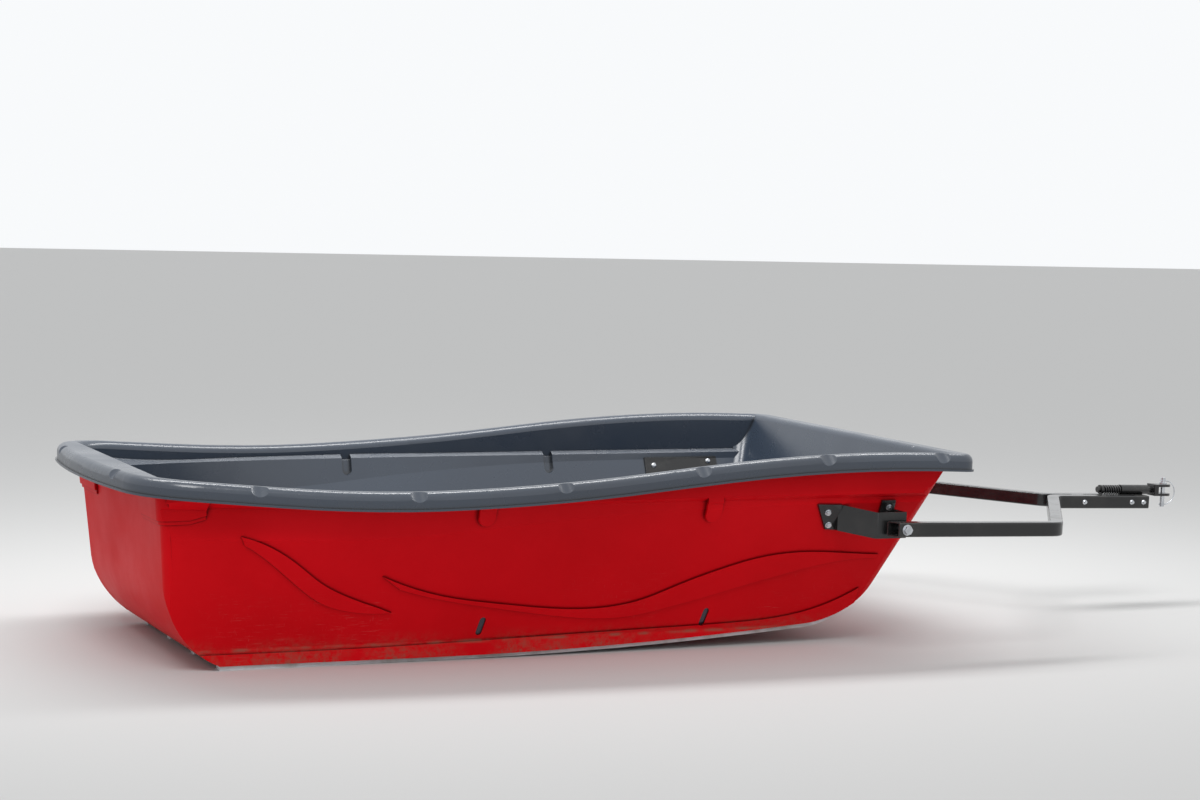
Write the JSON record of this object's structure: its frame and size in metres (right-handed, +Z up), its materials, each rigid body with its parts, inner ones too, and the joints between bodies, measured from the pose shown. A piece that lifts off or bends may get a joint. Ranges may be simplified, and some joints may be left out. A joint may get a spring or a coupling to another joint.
{
  "type": "utility sled",
  "caption": "Tub-shaped utility sled with a rolled rim, wear strips under the hull and a hinged steel tow bar with a sprung, swivelling hitch clevis.",
  "frame": {"origin": "centre of the bounding box in plan, on the ground under the wear strips", "axes": "+X forwards to the hitch, +Y to the sled's left, +Z up"},
  "size_m": [3.088, 1.198, 0.487],
  "materials": {
    "red_shell": "satin moulded polyethylene",
    "grey_shell": "satin moulded polyethylene",
    "wear_strip": "worn polyethylene",
    "black_steel": "gloss powder coat",
    "zinc": "bright zinc plate",
    "spring_steel": "oiled black"
  },
  "bodies": {
    "sled": {"backing_left": "black_steel", "backing_right": "black_steel", "bracket_left": "black_steel", "bracket_right": "black_steel", "flange_bolt_left_1": "zinc", "flange_bolt_left_2": "zinc", "flange_bolt_left_3": "zinc", "flange_bolt_right_1": "zinc", "flange_bolt_right_2": "zinc", "flange_bolt_right_3": "zinc", "hull_liner": "grey_shell", "hull_rim": "grey_shell", "hull_skin": "red_shell", "pivot_bolt_left": "zinc", "pivot_bolt_right": "zinc", "runner_1": "wear_strip", "runner_2": "wear_strip", "runner_3": "wear_strip", "runner_4": "wear_strip", "spacer_left": "zinc", "spacer_right": "zinc"},
    "tow_bar": {"bar_left": "black_steel", "bar_right": "black_steel", "tongue_bar_front": "black_steel", "tongue_bar_rear": "black_steel", "tongue_bolt_1": "zinc", "tongue_bolt_2": "zinc", "tongue_bolt_3": "zinc", "sleeve": "black_steel", "spring": "spring_steel"},
    "coupler": {"draw_rod": "black_steel", "clevis": "black_steel", "hitch_pin": "zinc", "pin_clip": "zinc"}
  },
  "joints": [
    {"name": "bar_pitch", "type": "hinge", "parent": "sled", "child": "tow_bar", "pos_m": [0.31797, 0, 0.308], "axis": [0, -1, 0], "range_deg": [-12, 95]},
    {"name": "coupler_swivel", "type": "hinge", "parent": "tow_bar", "child": "coupler", "pos_m": [1.4064, 0, 0.31241], "axis": [0.9997, 0, -0.0244], "continuous": true}
  ]
}
